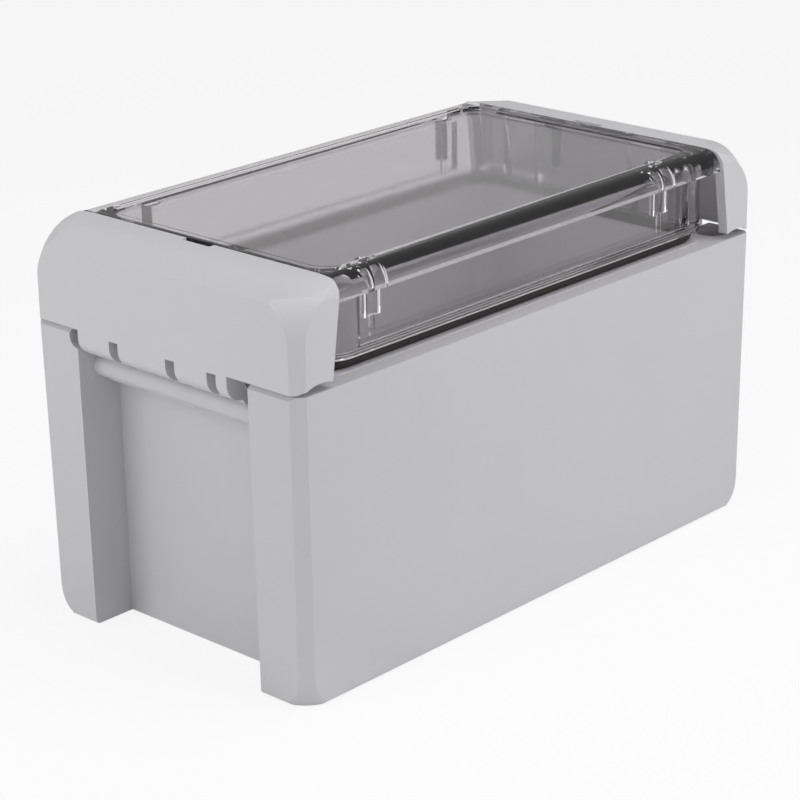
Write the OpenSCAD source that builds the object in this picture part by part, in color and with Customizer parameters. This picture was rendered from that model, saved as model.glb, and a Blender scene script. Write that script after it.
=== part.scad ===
// Hinged polycarbonate enclosure: a grey wall-mount base, a clear lid with a soft
// seal, and two identical end strips that each clip round a rail on the base.
// Either strip can be the latch while the other one carries the lid as its hinge.
// Here the -X strip is the latch and the +X strip is the hinge.

/* [Enclosure] */
// Overall length, end to end
body_l = 151; // [140:1:220]
// Overall width across the long faces
body_w = 80; // [80:1:125]
// Overall height with the lid shut
body_h = 90; // [84:1:110]
// Height of the base, up to the part line
base_h = 68.2; // [50.2:1:72.2]
// Inward lean of each outer face between part line and foot
draft = 0.6; // [0:0.1:1]
// Leg of the flat across each upright corner
corner_c = 2.4; // [1.5:0.1:3]
// Radius in plan of the rounded corner under each foot
foot_r = 8.5; // [7:0.5:9.5]
// Radius along the bottom edges
foot_edge_r = 1; // [0.5:0.1:1.5]

/* [Base walls] */
// Thickness of the outer skirt along the long faces
skirt_t = 2.6; // [2:0.1:3]
// Thickness of the long walls of the inner tub
tub_t = 2.6; // [2:0.1:3]
// Open coring between skirt and tub, seen from below
core_gap = 2.8; // [1.5:0.1:3]
// Thickness of the end walls of the tub
end_t = 3.4; // [3:0.1:4]
// Thickness of the floor
floor_t = 3; // [2:0.1:4]
// Thickness of the rim that joins skirt and tub
rim_t = 3; // [2:0.1:4]
// Radius of the upright corners inside the tub
tub_r = 5; // [2:0.5:8]
// Number of stiffening ribs in the coring of each long side
core_ribs = 5; // [2:1:8]
// Thickness of those ribs
core_rib_t = 1.8; // [1:0.1:3]

/* [Sealing rim] */
// Height that the sealing land stands above the part line
land_h = 0.3; // [0.2:0.1:0.5]
// Width of the sealing land beside the tub opening
land_w = 4; // [3:0.1:5]
// Width of the foamed seal
seal_w = 3; // [2.5:0.1:3]
// Depth of the seal's groove in the lid
seal_groove = 0.4; // [0.2:0.1:0.8]
// Space left under the relaxed seal
seal_gap = 0.1; // [0.05:0.05:0.2]

/* [End channels] */
// Width of the mounting channel in each end
chan_w = 51.6; // [50:0.2:52.4]
// Depth of the mounting channel
chan_d = 11.1; // [11:0.1:14]
// Width of the pocket beside the first claw
pocket_w = 2.4; // [2:0.1:2.6]
// Depth of that pocket below the part line
pocket_h = 3.9; // [3:0.1:5]
// Setback of the small relief along the top edge of each end
end_relief = 1; // [0.8:0.1:1.5]
// Depth of that relief
end_relief_h = 0.8; // [0.6:0.1:1.2]

/* [Wall fixing] */
// Distance of each fixing hole in from the end
fix_in_x = 6.5; // [6:0.1:7]
// Distance of each fixing hole in from the long face
fix_in_y = 7; // [6.5:0.1:7.2]
// Diameter of the fixing hole through the foot
fix_d = 4.5; // [3.5:0.1:5]
// Diameter of the well for the screw head
fix_well_d = 7.6; // [7:0.1:8]
// Thickness of the foot under the screw head
fix_foot_t = 5; // [3:0.5:12]

/* [Board bosses] */
// Distance between the board bosses along the length
boss_pitch_x = 104; // [60:1:106]
// Distance between the board bosses across the width
boss_pitch_y = 48; // [30:1:50]
// Outside diameter of a board boss
boss_d = 7; // [5.5:0.1:8]
// Height of a board boss above the floor
boss_h = 8; // [5:0.5:12]
// Diameter of the screw hole in a board boss
boss_hole_d = 2.7; // [2:0.1:3.2]

/* [Rail] */
// Diameter of the rail
rail_d = 5; // [4:0.1:5]
// Distance of the rail's axis in from the end face
rail_in = 6.6; // [6.3:0.1:6.7]
// Depth of the rail's axis below the part line
rail_drop = 9; // [9:0.1:10]
// Thickness of the webs that carry the rail
web_t = 1.9; // [1.2:0.1:2]
// Height of the webs where they leave the channel's wall
web_h = 7.5; // [6:0.5:10]

/* [End strips] */
// Width of a strip's top
strip_w = 12.8; // [11.5:0.1:13.2]
// Wall thickness of a strip
strip_t = 2.5; // [2:0.1:3]
// How far a strip's inner edge leans back towards its foot
strip_lean = 3; // [1.8:0.1:3.2]
// Radius of a strip's crown
crown_r = 12; // [9:0.5:14]
// Height of the crown above the top edge of the end face
crown_h = 3.5; // [2.5:0.1:5]
// Radius between a strip's top and its cheeks
cheek_r = 4; // [3:0.1:6]
// Gap between a strip and the part line
shut_gap = 0.4; // [0.3:0.1:0.6]
// Gap between neighbouring mouldings
part_gap = 0.3; // [0.25:0.05:0.4]
// Thickness of a claw round the rail
claw_t = 1.6; // [1.2:0.1:1.7]
// Radial clearance of a claw on the rail
claw_fit = 0.05; // [0.02:0.01:0.1]
// Radius under the outer edge of a claw
claw_r = 4.2; // [3:0.1:5]
// Lowest point of a claw's outer edge below the part line
claw_drop = 5.7; // [5:0.1:6]
// Angle above the horizontal at which the ring of a claw begins
claw_from = 55; // [45:1:65]
// Angle through which that ring wraps the rail
claw_wrap = 195; // [185:1:200]
// Width of the slots between claws
slot_w = 2.7; // [2.5:0.1:3.5]
// Middle of the first slot from the claws' first end
slot_1 = 11.2; // [7:0.1:16]
// Middle of the second slot from the claws' first end
slot_2 = 28.5; // [22:0.1:34]
// Middle of the third slot from the claws' first end
slot_3 = 40.8; // [38:0.1:42]
// Width of the free gap at one end of the claws
claw_end_gap = 6; // [4:0.1:7]
// Number of gussets inside the strip
strip_ribs = 4; // [2:2:6]
// Distance between neighbouring gussets
rib_pitch = 20; // [12:0.5:21]
// Thickness of a gusset
rib_t = 1.4; // [1:0.1:2]
// Leg of a gusset along the strip's walls
rib_leg = 2.5; // [1.5:0.1:3]
// Width of the release slot for a screwdriver
pry_w = 8.3; // [6:0.1:10]
// Depth of the release slot
pry_d = 1.5; // [1:0.1:2]

/* [Snap noses] */
// Distance between the two snap noses of a strip
nose_pitch = 38; // [30:1:44]
// Width of a snap nose
nose_w = 9; // [6:0.5:12]
// Height of a snap nose
nose_h = 1.5; // [1:0.1:2]
// Reach of a snap nose past the strip's inner edge
nose_reach = 0.9; // [0.5:0.1:1]
// Depth of a snap nose below the top of the strip
nose_z = 4; // [3.5:0.1:5]

/* [Lid] */
// Height of the open joint between part line and lid
joint_h = 3.1; // [2.5:0.1:3.3]
// Width across the lid's shoulders
lid_w = 78.6; // [76:0.2:79.2]
// Depth of the shoulder from the top
shoulder_h = 5.1; // [4.5:0.1:6]
// Radius along the top of the shoulder
shoulder_r = 3.9; // [2:0.1:4.2]
// Setback of the lid's foot from the shoulder
foot_in = 2.5; // [1:0.1:2.6]
// Setback of the window from the lid's foot
window_in = 1.8; // [1:0.1:2]
// How much longer the lid is at its foot than at its top, at each end
lid_lean = 1.9; // [1:0.1:2.2]
// Height of the bead along the lid's foot
bead_h = 1.6; // [1:0.1:2]
// Wall thickness of the lid at the window
lid_t = 2.6; // [2:0.1:2.8]
// Radius of the lid's upright corners
lid_r = 8; // [6:0.5:10]
// Distance of the window's ends in from the lid's ends
window_end = 8; // [6:0.5:12]
// Margin between the lid's ends and its sunk top panel
panel_in = 2.6; // [1.5:0.1:4]
// Width of the sunk top panel
panel_w = 67.2; // [60:0.2:68]
// Depth of the sunk top panel
panel_d = 0.5; // [0.3:0.1:0.8]
// Radius of the panel's corners
panel_r = 5; // [3:0.5:8]
// Diameter of the half-round posts inside the lid
post_d = 4.8; // [3:0.1:6]
// Distance of the long-side posts from the middle of the lid
post_x = 47.5; // [30:0.5:50]
// Sideways offset of the end posts
post_y = 7.4; // [0:0.1:9]
// Length of the posts below the lid's ceiling
post_l = 9.6; // [6:0.1:12]
// Width of the thin rib under each long-side post
post_rib_w = 1.2; // [0.8:0.1:2]

/* [Hidden] */
$fn = 64;

far = 400;                 // reach of cutters past everything
bite = 0.5;                // depth to which joined solids run into each other
skin = 0.02;               // what a ball stands off the edges that it runs out on
eps = 1;                   // distance that cutters run past a face
half_l = body_l / 2;
half_w = body_w / 2;
corner_in = corner_c / sqrt(2);
foot_ball_h = foot_r - corner_c;
foot_ball_r = norm([foot_r, foot_ball_h]) + skin;
tub_in = skirt_t + core_gap + tub_t;
tub_hl = half_l - chan_d - end_t;
tub_hw = half_w - tub_in;
chan_x = half_l - chan_d;
seal_hw = tub_hw + seal_w;
rail_r = rail_d / 2;
rail_x = half_l - rail_in;
rail_z = base_h - rail_drop;
web_end = rail_r - bite / 2;

// end strip
claw_ri = rail_r + claw_fit;
claw_ro = claw_ri + claw_t;
claw_y0 = -chan_w / 2 + part_gap;
claw_y1 = chan_w / 2 - claw_end_gap;
slot_ys = [claw_y0 + slot_1, claw_y0 + slot_2, claw_y0 + slot_3];
land_hl = chan_x - part_gap;
swing_r = part_gap + max(norm([rail_in, rail_drop - end_relief_h]),
                         norm([rail_in - end_relief, rail_drop]),
                         norm([rail_x - land_hl, rail_drop + land_h]));
strip_in_top = half_l - strip_w;
strip_foot = base_h + shut_gap;
cheek_in_r = cheek_r / 2;
lean_k = strip_lean / (body_h - strip_foot);
nose_top = body_h - nose_z;
nose_tip = strip_in_top - nose_reach;

// lid
lid_foot = base_h + joint_h;
lid_hl_top = strip_in_top - part_gap;
lid_hl_foot = lid_hl_top + lid_lean;
lid_hw = lid_w / 2;
lid_hw_foot = lid_hw - foot_in;
window_hw = lid_hw_foot - window_in;
window_z = lid_foot + bead_h;
window_top = body_h - shoulder_h;
lid_in_hw = window_hw - lid_t;
lid_in_hl = lid_hl_top - lid_t;
panel_z = body_h - panel_d;
ceiling_z = panel_z - lid_t;
seal_z0 = base_h + land_h + seal_gap;
seal_top = lid_foot + seal_groove;
seal_hl = rail_x - sqrt(pow(swing_r, 2) - pow(seal_z0 - rail_z, 2));
post_rib_z = seal_top + lid_t / 2;

// Draws in the X-Z plane and extrudes along Y over the width w
module along_y(w) rotate([90, 0, 0]) linear_extrude(w, center = true) children();

// Draws in the Y-Z plane and extrudes along X over the length l
module along_x(l) rotate([90, 0, 90]) linear_extrude(l, center = true) children();

// Rectangle of l by w with corners of radius r
module round_rect(l, w, r) {
    square([l - 2 * r, w], center = true);
    square([l, w - 2 * r], center = true);
    for (sx = [-1, 1], sy = [-1, 1])
        translate([sx * (l / 2 - r), sy * (w / 2 - r)]) circle(r);
}

// What a radius r removes from the square corner at the origin, whose solid lies
// towards -X and -Y
module corner_waste(r) {
    difference() {
        translate([-r, -r]) square(2 * r);
        translate([-r, -r]) circle(r);
    }
}

// Puts a +X end feature at both ends, turned half round as the mouldings are
module both_ends() {
    children();
    rotate([0, 0, 180]) children();
}

// Puts a feature of the +X +Y corner at all four corners
module four_corners() {
    for (sx = [0, 1], sy = [0, 1]) mirror([sx, 0, 0]) mirror([0, sy, 0]) children();
}

// Places a feature on both sides of the middle, pitch apart along Y
module pair_y(pitch) {
    for (s = [-1, 1]) translate([0, s * pitch / 2, 0]) children();
}

// ---- Base ------------------------------------------------------------------

// Leaning outline of the base, half_span wide at the part line
module leaning_outline(half_span) {
    foot = half_span - draft;
    difference() {
        polygon([[-foot, 0], [foot, 0], [half_span, base_h], [-half_span, base_h]]);
        for (s = [0, 1]) mirror([s, 0]) translate([foot, 0]) mirror([0, 1])
            corner_waste(foot_edge_r);
    }
}

// Waste outside the upright flat of a corner, which leans with the faces
module corner_flat_cut() {
    foot_in = corner_in + draft * sqrt(2);
    rotate([0, 0, 45]) along_y(far)
        polygon([[-foot_in, -eps], [-foot_in, 0], [-corner_in, base_h],
                 [-corner_in, base_h + eps], [far, base_h + eps], [far, -eps]]);
}

// Waste outside the ball that rounds a corner under the foot. The ball runs out on
// the edges of the upright flat.
module foot_ball_cut() {
    ball_in = draft + foot_r;
    translate([-ball_in, -ball_in, 0]) difference() {
        translate([0, 0, -eps])
            cube([ball_in + eps, ball_in + eps, foot_ball_h + eps]);
        translate([0, 0, foot_ball_h]) sphere(foot_ball_r);
    }
}

module base_outside() {
    difference() {
        intersection() {
            along_y(body_w + eps) leaning_outline(half_l);
            along_x(body_l + eps) leaning_outline(half_w);
        }
        four_corners() translate([half_l, half_w, 0]) {
            corner_flat_cut();
            foot_ball_cut();
        }
    }
}

// Space inside the tub
module tub_space() {
    translate([0, 0, floor_t]) linear_extrude(base_h)
        round_rect(2 * tub_hl, 2 * tub_hw, tub_r);
}

// Sealing land round the tub opening
module sealing_land() {
    translate([0, 0, base_h - rim_t]) linear_extrude(rim_t + land_h)
        round_rect(2 * land_hl, 2 * (tub_hw + land_w), tub_r + land_w / 2);
}

// Open coring between skirt and tub, between the stiffening ribs
module side_coring() {
    span = 2 * (tub_hl - core_rib_t / 2);
    pitch = span / (core_ribs + 1);
    for (i = [0 : core_ribs], s = [-1, 1])
        translate([-span / 2 + i * pitch + core_rib_t / 2,
                   s * (half_w - skirt_t - core_gap / 2) - core_gap / 2, -eps])
            cube([pitch - core_rib_t, core_gap, base_h - rim_t + eps]);
}

// Channel, claw pocket and top relief of the +X end
module end_cuts() {
    translate([chan_x, -chan_w / 2, -eps]) cube([chan_d + eps, chan_w, base_h + 2 * eps]);
    translate([chan_x, -chan_w / 2, base_h - pocket_h])
        rotate([90, 0, 90]) linear_extrude(chan_d + eps) {
            translate([0, pocket_w]) circle(pocket_w);
            translate([-pocket_w, pocket_w]) square([pocket_w + eps, pocket_h]);
        }
    along_y(body_w + eps) translate([half_l, base_h])
        polygon([[-end_relief, 0], [0, -end_relief_h], [eps, -end_relief_h],
                 [eps, eps], [-end_relief, eps]]);
}

// Rail across the +X channel, carried by webs where the strip has its slots
module rail() {
    translate([rail_x, 0, rail_z]) rotate([90, 0, 0])
        cylinder(r = rail_r, h = chan_w + 2 * bite, center = true);
    for (y = slot_ys) translate([0, y, 0]) along_y(web_t) translate([0, rail_z])
        polygon([[chan_x - bite, -web_h / 2], [chan_x - bite, web_h / 2],
                 [rail_x, web_end], [rail_x, -web_end]]);
}

// Fixing hole and screw-head well of one corner
module wall_fixing() {
    translate([half_l - fix_in_x, half_w - fix_in_y, -eps]) {
        cylinder(d = fix_d, h = base_h + 2 * eps);
        translate([0, 0, fix_foot_t + eps]) cylinder(d = fix_well_d, h = base_h);
    }
}

module board_boss(d, z0, h) {
    for (sx = [-1, 1], sy = [-1, 1])
        translate([sx * boss_pitch_x / 2, sy * boss_pitch_y / 2, z0]) cylinder(d = d, h = h);
}

module housing_base() {
    color("#bdbdc0") difference() {
        union() {
            difference() {
                base_outside();
                tub_space();
                side_coring();
                both_ends() end_cuts();
            }
            difference() {
                sealing_land();
                tub_space();
            }
            both_ends() rail();
            board_boss(boss_d, floor_t - bite, boss_h + bite);
        }
        board_boss(boss_hole_d, floor_t, boss_h + eps);
        four_corners() wall_fixing();
    }
}

// ---- End strip, drawn at the +X end -----------------------------------------

// End view of the crown, inset all round by t
module crown_end_view(t) {
    crown_x = half_l - sqrt(pow(crown_r, 2) - pow(crown_r - crown_h, 2));
    difference() {
        polygon([[strip_in_top, body_h - t], [half_l - t, body_h - t], [half_l - t, rail_z],
                 [strip_in_top + lean_k * (body_h - rail_z), rail_z]]);
        translate([crown_x, body_h - crown_r]) difference() {
            square(2 * crown_r);
            circle(crown_r - t);
        }
    }
}

// Side view of the crown, inset all round by t
module crown_side_view(t) {
    difference() {
        translate([-half_w + t, 0]) square([body_w - 2 * t, body_h - t]);
        for (s = [0, 1]) mirror([s, 0]) translate([half_w - t, body_h - t])
            corner_waste(max(cheek_r - t, cheek_in_r));
    }
}

// Waste outside the diagonal corner of the crown, inset by t
module crown_corner_cut(t) {
    rotate([0, 0, 45]) along_y(far) difference() {
        translate([-far / 2, 0]) square([far, body_h + eps]);
        difference() {
            translate([-far, 0]) square([far - corner_in - t, body_h - t]);
            translate([-corner_in - t, body_h - t]) corner_waste(crown_r - t);
        }
    }
}

module crown(t) {
    difference() {
        intersection() {
            along_y(body_w + eps) crown_end_view(t);
            along_x(body_l + eps) crown_side_view(t);
        }
        for (sy = [0, 1]) mirror([0, sy, 0])
            translate([half_l, half_w, 0]) crown_corner_cut(t);
    }
}

// Point of the claw's section at radius r and angle a round the rail
function at_rail(r, a) = [rail_x + r * cos(a), rail_z + r * sin(a)];

// Section of the claw: a ring round part of the rail, carried from the outer wall
module claw_section() {
    claw_foot = base_h - claw_drop;
    gap_a = (claw_from - (claw_from + claw_wrap - 360)) / 3;
    difference() {
        translate([rail_x, rail_z]) circle(claw_ro);
        translate([rail_x, rail_z]) circle(claw_ri);
        polygon([[rail_x, rail_z], for (i = [0 : 3]) at_rail(far, claw_from - i * gap_a)]);
    }
    difference() {
        polygon([at_rail(rail_r, 90), at_rail(claw_ro, 90), [half_l - strip_t, strip_foot + eps],
                 [half_l, strip_foot + eps], [half_l, claw_foot],
                 [rail_x + rail_r - bite, claw_foot], at_rail(rail_r, claw_from)]);
        translate([half_l, claw_foot]) mirror([0, 1]) corner_waste(claw_r);
        translate([rail_x, rail_z]) circle(claw_ri);
    }
}

// Snap nose under the strip's top, standing in the lid's pocket
module snap_nose() {
    nose_foot = nose_top - nose_h;
    translate([nose_tip, -nose_w / 2, nose_foot])
        cube([strip_t + nose_reach, nose_w, nose_h]);
    translate([strip_in_top + part_gap, -nose_w / 2, nose_foot])
        cube([strip_t - part_gap, nose_w, body_h - strip_t / 2 - nose_foot]);
}

// Gussets between the strip's top and outer wall
module strip_gussets() {
    wall_x = half_l - strip_t;
    wall_z = body_h - strip_t;
    for (i = [0 : strip_ribs - 1])
        translate([0, (i - (strip_ribs - 1) / 2) * rib_pitch, 0]) along_y(rib_t)
            polygon([[wall_x + bite, wall_z - crown_h - rib_leg],
                     [half_l - strip_t / 2, body_h - crown_h - strip_t / 2],
                     [wall_x - crown_h - rib_leg, wall_z + bite]]);
}

module end_strip() {
    difference() {
        union() {
            difference() {
                crown(0);
                crown(strip_t);
                translate([0, -half_w, 0]) cube([body_l, body_w, strip_foot]);
                translate([rail_x, 0, rail_z]) rotate([90, 0, 0])
                    cylinder(r = swing_r, h = body_w + 2 * eps, center = true);
            }
            translate([0, (claw_y0 + claw_y1) / 2, 0]) along_y(claw_y1 - claw_y0) claw_section();
            pair_y(nose_pitch) snap_nose();
            strip_gussets();
        }
        for (y = slot_ys) translate([rail_x - claw_ro - eps, y - slot_w / 2, 0])
            cube([rail_in + claw_ro + 2 * eps, slot_w, base_h]);
        translate([strip_in_top - eps, -pry_w / 2, body_h - 2 * strip_t])
            cube([pry_d + eps, pry_w, 3 * strip_t]);
    }
}

module hinge_strip() color("#c6c6c9") end_strip();

module latch_strip() color("#c6c6c9") rotate([0, 0, 180]) end_strip();

// ---- Lid ---------------------------------------------------------------------

module lid_end_view() {
    polygon([[-lid_hl_foot, lid_foot], [lid_hl_foot, lid_foot],
             [lid_hl_top, body_h], [-lid_hl_top, body_h]]);
}

module shoulder_view() {
    difference() {
        translate([-lid_hw, window_top]) square([lid_w, shoulder_h]);
        for (s = [0, 1]) mirror([s, 0]) translate([lid_hw, body_h]) corner_waste(shoulder_r);
    }
}

module lid_outside() {
    intersection() {
        along_y(lid_w + eps) lid_end_view();
        union() {
            along_x(body_l) shoulder_view();
            translate([0, 0, lid_foot]) linear_extrude(window_top + shoulder_h / 2 - lid_foot)
                round_rect(2 * lid_hl_foot, 2 * lid_hw_foot, lid_r);
        }
    }
}

// Sunk window in one long side
module window_recess() {
    translate([-lid_hl_top + window_end, window_hw, window_z])
        cube([2 * (lid_hl_top - window_end), lid_hw - window_hw + eps, window_top - window_z]);
}

// Pocket in the lid's end for a snap nose, open below
module nose_pocket() {
    translate([nose_tip - part_gap, -nose_w / 2 - part_gap, lid_foot - eps])
        cube([far, nose_w + 2 * part_gap, nose_top + 2 * part_gap - lid_foot + eps]);
}

// Half-round post on a wall, hanging from the ceiling
module lid_post() {
    translate([0, 0, ceiling_z - post_l]) cylinder(d = post_d, h = post_l + bite);
}

module lid_posts() {
    for (sx = [-1, 1], sy = [-1, 1]) translate([sx * post_x, sy * lid_in_hw, 0]) {
        lid_post();
        translate([-post_rib_w / 2, -post_rib_w / 2, post_rib_z])
            cube([post_rib_w, post_rib_w, ceiling_z - post_rib_z]);
    }
    both_ends() translate([lid_in_hl, post_y, 0]) lid_post();
}

module seal_ring(z0, z1) {
    translate([0, 0, z0]) linear_extrude(z1 - z0) difference() {
        round_rect(2 * seal_hl, 2 * seal_hw, tub_r + seal_w);
        round_rect(2 * (seal_hl - seal_w), 2 * (seal_hw - seal_w), tub_r);
    }
}

module clear_lid() {
    color("#9b979c", 0.45) difference() {
        union() {
            difference() {
                lid_outside();
                translate([0, 0, lid_foot - eps]) linear_extrude(ceiling_z - lid_foot + eps)
                    round_rect(2 * lid_in_hl, 2 * lid_in_hw, tub_r);
                translate([0, 0, panel_z]) linear_extrude(panel_d + eps)
                    round_rect(2 * (lid_hl_top - panel_in), panel_w, panel_r);
                for (s = [0, 1]) mirror([0, s, 0]) window_recess();
                both_ends() pair_y(nose_pitch) nose_pocket();
            }
            intersection() {
                lid_posts();
                lid_outside();
            }
        }
        seal_ring(lid_foot - eps, seal_top);
    }
}

module lid_seal() color("#2c2a28") seal_ring(seal_z0, seal_top);

housing_base();
clear_lid();
lid_seal();
latch_strip();
hinge_strip();
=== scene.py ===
"""Grey wall-mount enclosure with a clear lid and two clip-on end strips."""
import math

import bmesh
import bpy
from mathutils import Matrix, Vector


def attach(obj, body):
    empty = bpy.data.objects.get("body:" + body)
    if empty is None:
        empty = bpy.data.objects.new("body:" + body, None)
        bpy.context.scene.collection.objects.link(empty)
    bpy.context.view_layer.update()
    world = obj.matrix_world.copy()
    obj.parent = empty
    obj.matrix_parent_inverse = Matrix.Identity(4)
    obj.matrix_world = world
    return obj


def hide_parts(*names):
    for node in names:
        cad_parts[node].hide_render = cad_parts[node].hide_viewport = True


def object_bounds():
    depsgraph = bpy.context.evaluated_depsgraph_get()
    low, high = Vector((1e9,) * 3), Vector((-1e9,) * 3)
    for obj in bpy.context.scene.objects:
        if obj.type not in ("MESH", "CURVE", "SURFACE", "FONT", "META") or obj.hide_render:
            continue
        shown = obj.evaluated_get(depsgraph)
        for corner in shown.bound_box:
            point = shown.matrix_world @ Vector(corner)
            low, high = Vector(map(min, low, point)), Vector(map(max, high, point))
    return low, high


bl_info = {
    "name": "Clip-strip Enclosure",
    "version": (1, 0, 0),
    "blender": (4, 5, 0),
    "location": "3D View > Sidebar > Enclosure",
    "description": "Finishes a clear-lidded enclosure around its engineering solids",
    "category": "Add Mesh",
}

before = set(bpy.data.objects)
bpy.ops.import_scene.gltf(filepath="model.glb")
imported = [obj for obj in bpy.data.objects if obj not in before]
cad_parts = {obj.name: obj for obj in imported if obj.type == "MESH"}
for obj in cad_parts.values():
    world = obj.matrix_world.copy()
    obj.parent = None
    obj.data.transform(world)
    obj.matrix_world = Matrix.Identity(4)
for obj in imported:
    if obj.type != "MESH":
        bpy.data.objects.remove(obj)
SOLIDS_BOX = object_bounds()
MM = 0.001

WELD = 0.002 * MM          # vertices of a solid closer than this are one
FLAT_DEG = 0.6             # faces that meet at less than this are one
SHARP_DEG = 28.0           # edges sharper than this are rounded over
EDGE_SEGMENTS = 3

FLOOR_SPANS = 6            # half side of the floor, in diagonals of the object
FLOOR_DROP = 0.2 * MM      # gap that keeps the floor off the underside
FLOOR_GLOW = 0.86          # share of the floor that glows when it is seen
ROOM_LIGHT = 0.42          # strength of the room as a light

# Softboxes: azimuth and elevation in degrees, side and distance in diagonals, watts
SOFTBOXES = {
    "top_softbox": (20.0, 70.0, 1.6, 2.4, 0.85),
    "left_softbox": (-105.0, 22.0, 1.5, 2.2, 0.5),
    "right_softbox": (15.0, 20.0, 1.5, 2.2, 0.4),
}

CAMERA_PLACE = (-409.98, -379.98, 243.79)     # mm
CAMERA_DEG = (-46.92, 20.24, -1.0)            # azimuth, elevation, roll
CAMERA_LENS = 117.4                           # mm, on a sensor of SENSOR
SENSOR = 36.0


# ---- Sizes and colours --------------------------------------------------------

class EnclosureSizes(bpy.types.PropertyGroup):
    base_edge: bpy.props.FloatProperty(
        name="Base edge", description="Radius on the moulded edges of the base",
        default=0.35 * MM, min=0.1 * MM, max=0.8 * MM, unit="LENGTH")
    strip_edge: bpy.props.FloatProperty(
        name="Strip edge", description="Radius on the moulded edges of the end strips",
        default=0.4 * MM, min=0.1 * MM, max=0.8 * MM, unit="LENGTH")
    lid_edge: bpy.props.FloatProperty(
        name="Lid edge", description="Radius on the moulded edges of the clear lid",
        default=0.25 * MM, min=0.1 * MM, max=0.6 * MM, unit="LENGTH")
    seal_crown: bpy.props.FloatProperty(
        name="Seal crown", description="How round the foamed seal's flanks are",
        default=0.9 * MM, min=0.3 * MM, max=1.4 * MM, unit="LENGTH")


class EnclosureColours(bpy.types.PropertyGroup):
    base: bpy.props.StringProperty(
        name="Base", description="Light grey of the moulded base, sRGB hex", default="#C6C5C9")
    strip: bpy.props.StringProperty(
        name="End strips", description="Light grey of the end strips, sRGB hex", default="#CACACD")
    lid: bpy.props.StringProperty(
        name="Lid", description="Faint smoke of the clear lid, sRGB hex", default="#DDDADD")
    seal: bpy.props.StringProperty(
        name="Seal", description="Dark brown-black of the foamed seal, sRGB hex", default="#2B2725")
    floor: bpy.props.StringProperty(
        name="Floor", description="Pale studio floor, sRGB hex", default="#F2F2F2")


# ---- Materials ----------------------------------------------------------------

def linear(hex_colour):
    """sRGB hex to linear RGBA."""
    raw = [int(hex_colour[i:i + 2], 16) / 255 for i in (1, 3, 5)]
    return (*[c / 12.92 if c <= 0.04045 else ((c + 0.055) / 1.055) ** 2.4 for c in raw], 1.0)


def shaded(rgba, k):
    return (*[min(1.0, c * k) for c in rgba[:3]], 1.0)


def add(tree, kind, settings=None, links=None):
    """Adds a node, sets its sockets or properties, and links its inputs."""
    node = tree.nodes.new(kind)
    for key, value in (settings or {}).items():
        if key in node.inputs:
            node.inputs[key].default_value = value
        else:
            setattr(node, key, value)
    for key, source in (links or {}).items():
        tree.links.new(source, node.inputs[key])
    return node


def any_ray(tree, *kinds):
    """Output that is 1 for a ray of any of the named kinds, otherwise 0."""
    path = add(tree, "ShaderNodeLightPath").outputs
    total = path[kinds[0]]
    for kind in kinds[1:]:
        step = add(tree, "ShaderNodeMath", {"operation": "ADD", "use_clamp": True})
        tree.links.new(total, step.inputs[0])
        tree.links.new(path[kind], step.inputs[1])
        total = step.outputs[0]
    return total


def blend(tree, share, first, second):
    """Mixes two shaders, all of the first at share 0 and all of the second at 1."""
    mixed = add(tree, "ShaderNodeMixShader", links={"Fac": share})
    tree.links.new(first, mixed.inputs[1])
    tree.links.new(second, mixed.inputs[2])
    return mixed.outputs["Shader"]


def start_material(name):
    mat = bpy.data.materials.new(name)
    mat.use_nodes = True
    mat.node_tree.nodes.clear()
    return mat, mat.node_tree


def moulded_polycarbonate(name, hex_colour, roughness, grain_mm, grain_depth_mm):
    """Injection-moulded polycarbonate: even colour with a faint cloud from the melt, and
    the fine spark-eroded grain of the tool, drawn coarse enough to show."""
    mat, tree = start_material(name)
    colour = linear(hex_colour)
    place = add(tree, "ShaderNodeTexCoord").outputs["Object"]
    cloud = add(tree, "ShaderNodeTexNoise", {"Scale": 28.0, "Detail": 2.0}, {"Vector": place})
    tint = add(tree, "ShaderNodeMix", {"data_type": "RGBA"}, {"Factor": cloud.outputs["Fac"]})
    tint.inputs["A"].default_value = shaded(colour, 0.975)
    tint.inputs["B"].default_value = shaded(colour, 1.025)
    grain = add(tree, "ShaderNodeTexNoise",
                {"Scale": 1 / (grain_mm * MM), "Detail": 3.0, "Roughness": 0.6},
                {"Vector": place})
    gloss = add(tree, "ShaderNodeMapRange",
                {"To Min": roughness - 0.05, "To Max": roughness + 0.07},
                {"Value": grain.outputs["Fac"]})
    bump = add(tree, "ShaderNodeBump",
               {"Strength": 0.35, "Distance": grain_depth_mm * MM},
               {"Height": grain.outputs["Fac"]})
    shader = add(tree, "ShaderNodeBsdfPrincipled", {"IOR": 1.585},
                 {"Base Color": tint.outputs["Result"], "Roughness": gloss.outputs["Result"],
                  "Normal": bump.outputs["Normal"]})
    add(tree, "ShaderNodeOutputMaterial", links={"Surface": shader.outputs["BSDF"]})
    return mat


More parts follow.
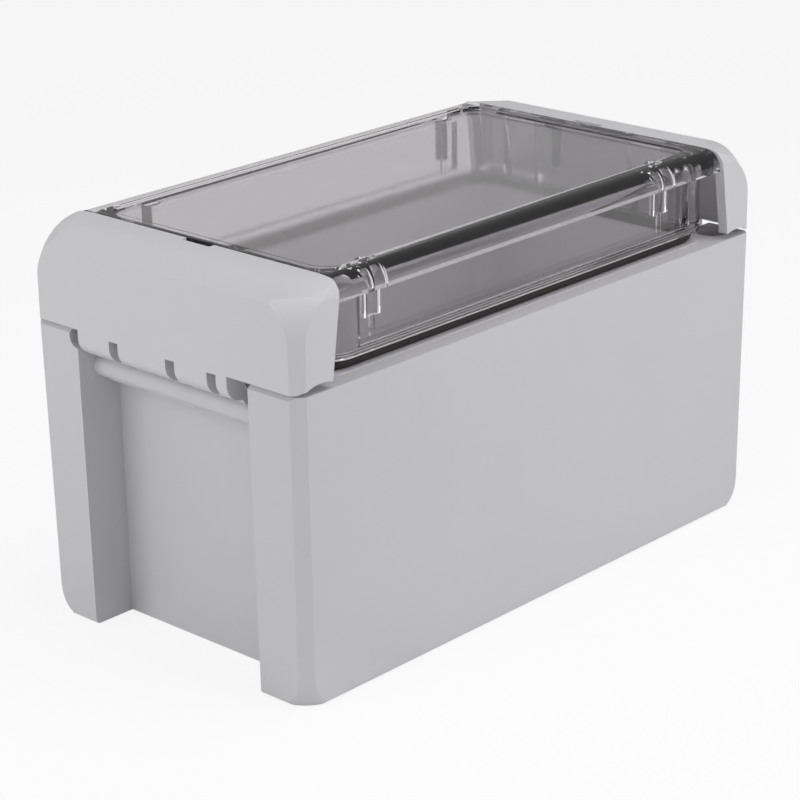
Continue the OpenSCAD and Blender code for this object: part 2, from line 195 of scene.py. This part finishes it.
def clear_polycarbonate(name, hex_colour):
    """Polished clear polycarbonate: a glassy wall with a faint smoke, and slow ripples of
    a tenth of a millimetre where the melt shrank, which bend its reflections."""
    mat, tree = start_material(name)
    place = add(tree, "ShaderNodeTexCoord").outputs["Object"]
    sink = add(tree, "ShaderNodeTexNoise", {"Scale": 55.0, "Detail": 1.0}, {"Vector": place})
    bump = add(tree, "ShaderNodeBump", {"Strength": 0.12, "Distance": 0.1 * MM},
               {"Height": sink.outputs["Fac"]})
    haze = add(tree, "ShaderNodeTexNoise", {"Scale": 300.0, "Detail": 2.0}, {"Vector": place})
    gloss = add(tree, "ShaderNodeMapRange", {"To Min": 0.02, "To Max": 0.06},
                {"Value": haze.outputs["Fac"]})
    shader = add(tree, "ShaderNodeBsdfPrincipled",
                 {"Base Color": linear(hex_colour), "IOR": 1.585, "Transmission Weight": 1.0},
                 {"Roughness": gloss.outputs["Result"], "Normal": bump.outputs["Normal"]})
    through = add(tree, "ShaderNodeBsdfTransparent", {"Color": linear(hex_colour)})
    surface = blend(tree, any_ray(tree, "Is Shadow Ray"), shader.outputs["BSDF"],
                    through.outputs["BSDF"])
    add(tree, "ShaderNodeOutputMaterial", links={"Surface": surface})
    return mat


def foamed_seal(name, hex_colour):
    """Foamed polyurethane seal: matt skin with closed cells of about half a millimetre."""
    mat, tree = start_material(name)
    colour = linear(hex_colour)
    place = add(tree, "ShaderNodeTexCoord").outputs["Object"]
    cells = add(tree, "ShaderNodeTexVoronoi", {"Scale": 1 / (0.5 * MM)}, {"Vector": place})
    tint = add(tree, "ShaderNodeMix", {"data_type": "RGBA"},
               {"Factor": cells.outputs["Distance"]})
    tint.inputs["A"].default_value = shaded(colour, 0.7)
    tint.inputs["B"].default_value = shaded(colour, 1.5)
    bump = add(tree, "ShaderNodeBump", {"Strength": 0.5, "Distance": 0.06 * MM},
               {"Height": cells.outputs["Distance"]})
    shader = add(tree, "ShaderNodeBsdfPrincipled",
                 {"Roughness": 0.85, "IOR": 1.5},
                 {"Base Color": tint.outputs["Result"], "Normal": bump.outputs["Normal"]})
    add(tree, "ShaderNodeOutputMaterial", links={"Surface": shader.outputs["BSDF"]})
    return mat


def studio_floor(name, hex_colour):
    """Matt white studio paper that reads as pure white and still takes a soft shadow."""
    mat, tree = start_material(name)
    seen = any_ray(tree, "Is Camera Ray", "Is Glossy Ray", "Is Transmission Ray")
    share = add(tree, "ShaderNodeMath", {"operation": "MULTIPLY"})
    tree.links.new(seen, share.inputs[0])
    share.inputs[1].default_value = FLOOR_GLOW
    paper = add(tree, "ShaderNodeBsdfPrincipled",
                {"Base Color": linear(hex_colour), "Roughness": 0.9})
    glow = add(tree, "ShaderNodeEmission", {"Color": (1, 1, 1, 1), "Strength": 1.0})
    surface = blend(tree, share.outputs[0], paper.outputs["BSDF"], glow.outputs["Emission"])
    add(tree, "ShaderNodeOutputMaterial", links={"Surface": surface})
    return mat


# ---- Mesh helpers --------------------------------------------------------------

def link_object(name, mesh):
    obj = bpy.data.objects.new(name, mesh)
    bpy.context.scene.collection.objects.link(obj)
    return obj


def apply_modifiers(obj):
    """Turns the evaluated object into a plain mesh and drops its modifiers."""
    depsgraph = bpy.context.evaluated_depsgraph_get()
    mesh = bpy.data.meshes.new_from_object(obj.evaluated_get(depsgraph))
    mesh.name = obj.name
    obj.modifiers.clear()
    old = obj.data
    obj.data = mesh
    bpy.data.meshes.remove(old)
    return obj


def softened_copy(node, name, edge):
    """A merged copy of a solid with its hard edges rounded over."""
    bm = bmesh.new()
    bm.from_mesh(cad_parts[node].data)
    bmesh.ops.remove_doubles(bm, verts=bm.verts, dist=WELD)
    bmesh.ops.dissolve_limit(bm, angle_limit=math.radians(FLAT_DEG), verts=bm.verts,
                             edges=bm.edges, delimit={"NORMAL"})
    mesh = bpy.data.meshes.new(name)
    bm.to_mesh(mesh)
    bm.free()
    obj = link_object(name, mesh)
    bevel = obj.modifiers.new("edge", "BEVEL")
    bevel.width = edge
    bevel.segments = EDGE_SEGMENTS
    bevel.limit_method = "ANGLE"
    bevel.angle_limit = math.radians(SHARP_DEG)
    bevel.use_clamp_overlap = True
    bevel.miter_outer = "MITER_ARC"
    weigh = obj.modifiers.new("flat faces stay flat", "WEIGHTED_NORMAL")
    weigh.weight = 100
    weigh.keep_sharp = True
    mesh.polygons.foreach_set("use_smooth", [True] * len(mesh.polygons))
    apply_modifiers(obj)
    return obj


def dress(obj, material, body, slot, *nodes):
    obj.data.materials.clear()
    obj.data.materials.append(material)
    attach(obj, body)
    if nodes:
        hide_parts(*nodes)
    return obj


def settings():
    return bpy.context.scene.enclosure_sizes, bpy.context.scene.enclosure_colours


# ---- Operators -----------------------------------------------------------------

class ENCLOSURE_OT_base(bpy.types.Operator):
    """Finish the moulded base with soft edges and grained polycarbonate"""
    bl_idname = "enclosure.base"
    bl_label = "Base Moulding"

    def execute(self, context):
        sizes, colours = settings()
        obj = softened_copy("housing_base", "base_moulding", sizes.base_edge)
        dress(obj, moulded_polycarbonate("grained grey polycarbonate", colours.base,
                                         0.42, 0.35, 0.02),
              "base", "base_grey", "housing_base")
        return {"FINISHED"}


class ENCLOSURE_OT_lid(bpy.types.Operator):
    """Finish the clear lid with soft edges and polished polycarbonate"""
    bl_idname = "enclosure.lid"
    bl_label = "Clear Lid"

    def execute(self, context):
        sizes, colours = settings()
        obj = softened_copy("clear_lid", "lid_moulding", sizes.lid_edge)
        dress(obj, clear_polycarbonate("smoky clear polycarbonate", colours.lid),
              "lid", "clear_polycarbonate", "clear_lid")
        return {"FINISHED"}


class ENCLOSURE_OT_seal(bpy.types.Operator):
    """Finish the foamed seal in the lid's groove with well-rounded edges"""
    bl_idname = "enclosure.seal"
    bl_label = "Foamed Seal"

    def execute(self, context):
        sizes, colours = settings()
        obj = softened_copy("lid_seal", "foamed_seal", sizes.seal_crown)
        dress(obj, foamed_seal("foamed polyurethane", colours.seal),
              "lid", "seal_foam", "lid_seal")
        return {"FINISHED"}


class ENCLOSURE_OT_strips(bpy.types.Operator):
    """Finish the latch strip and the hinge strip, which are the same moulding"""
    bl_idname = "enclosure.strips"
    bl_label = "End Strips"

    def execute(self, context):
        sizes, colours = settings()
        finish = moulded_polycarbonate("satin grey polycarbonate", colours.strip,
                                       0.36, 0.3, 0.015)
        for node, body in (("latch_strip", "latch"), ("hinge_strip", "lid")):
            obj = softened_copy(node, node + "_moulding", sizes.strip_edge)
            dress(obj, finish, body, "strip_grey", node)
        return {"FINISHED"}


class ENCLOSURE_OT_stage(bpy.types.Operator):
    """Set up the pale floor, the soft studio light and the camera"""
    bl_idname = "enclosure.stage"
    bl_label = "Studio"

    def execute(self, context):
        colours = settings()[1]
        low, high = SOLIDS_BOX
        middle = (low + high) / 2
        span = (high - low).length
        half = FLOOR_SPANS * span
        mesh = bpy.data.meshes.new("studio_floor")
        mesh.from_pydata([(-half, -half, 0), (half, -half, 0), (half, half, 0),
                          (-half, half, 0)], [], [(0, 1, 2, 3)])
        floor = link_object("studio_floor", mesh)
        floor.location.z = -FLOOR_DROP
        floor.data.materials.append(studio_floor("white studio paper", colours.floor))
        set_world()
        for name, (azimuth, elevation, side, distance, power) in SOFTBOXES.items():
            soft_light(name, middle, azimuth, elevation, side * span, distance * span, power)
        set_camera()
        context.scene.view_settings.view_transform = "Standard"
        return {"FINISHED"}


def set_world():
    """Even studio white that the camera sees as background, dimmer as a light."""
    world = bpy.data.worlds.new("studio")
    bpy.context.scene.world = world
    world.use_nodes = True
    tree = world.node_tree
    tree.nodes.clear()
    room = add(tree, "ShaderNodeBackground", {"Color": (1, 1, 1, 1), "Strength": ROOM_LIGHT})
    backdrop = add(tree, "ShaderNodeBackground", {"Color": (1, 1, 1, 1), "Strength": 1.0})
    seen = any_ray(tree, "Is Camera Ray", "Is Transmission Ray")
    surface = blend(tree, seen, room.outputs[0], backdrop.outputs[0])
    add(tree, "ShaderNodeOutputWorld", links={"Surface": surface})


def towards(azimuth, elevation):
    """Unit vector from the object towards a viewer, azimuth 0 being the front."""
    a, e = math.radians(azimuth), math.radians(elevation)
    return Vector((math.sin(a) * math.cos(e), -math.cos(a) * math.cos(e), math.sin(e)))


def soft_light(name, target, azimuth, elevation, side, distance, power):
    """A square softbox that looks at the object from a direction given in degrees."""
    data = bpy.data.lights.new(name, "AREA")
    data.shape = "SQUARE"
    data.size = side
    data.energy = power
    lamp = bpy.data.objects.new(name, data)
    bpy.context.scene.collection.objects.link(lamp)
    back = towards(azimuth, elevation)
    lamp.location = target + back * distance
    lamp.rotation_euler = back.to_track_quat("Z", "Y").to_euler()


def set_camera():
    """Long lens from the front left, a little above the lid."""
    data = bpy.data.cameras.new("studio_camera")
    camera = bpy.data.objects.new("studio_camera", data)
    bpy.context.scene.collection.objects.link(camera)
    bpy.context.scene.camera = camera
    data.sensor_width = SENSOR
    data.lens = CAMERA_LENS
    azimuth, elevation, roll = CAMERA_DEG
    camera.location = Vector(CAMERA_PLACE) * MM
    aim = towards(azimuth, elevation).to_track_quat("Z", "Y").to_matrix()
    camera.rotation_euler = (aim @ Matrix.Rotation(math.radians(roll), 3, "Z")).to_euler()
    data.clip_start, data.clip_end = 0.01, 20.0


# ---- Panel and run ---------------------------------------------------------------

OPERATORS = (ENCLOSURE_OT_base, ENCLOSURE_OT_lid, ENCLOSURE_OT_seal, ENCLOSURE_OT_strips,
             ENCLOSURE_OT_stage)


class ENCLOSURE_PT_panel(bpy.types.Panel):
    bl_idname = "ENCLOSURE_PT_panel"
    bl_label = "Enclosure"
    bl_space_type = "VIEW_3D"
    bl_region_type = "UI"
    bl_category = "Enclosure"

    def draw(self, context):
        column = self.layout.column()
        for group in settings():
            for key in group.bl_rna.properties.keys():
                if key not in {"rna_type", "name"}:
                    column.prop(group, key)
        for operator in OPERATORS:
            column.operator(operator.bl_idname)


CLASSES = (EnclosureSizes, EnclosureColours, *OPERATORS, ENCLOSURE_PT_panel)


def register():
    for cls in CLASSES:
        bpy.utils.register_class(cls)
    bpy.types.Scene.enclosure_sizes = bpy.props.PointerProperty(type=EnclosureSizes)
    bpy.types.Scene.enclosure_colours = bpy.props.PointerProperty(type=EnclosureColours)


def unregister():
    del bpy.types.Scene.enclosure_colours
    del bpy.types.Scene.enclosure_sizes
    for cls in reversed(CLASSES):
        bpy.utils.unregister_class(cls)


def main():
    register()
    for operator in OPERATORS:
        group, name = operator.bl_idname.split(".")
        getattr(getattr(bpy.ops, group), name)()


if __name__ == "__main__":
    main()
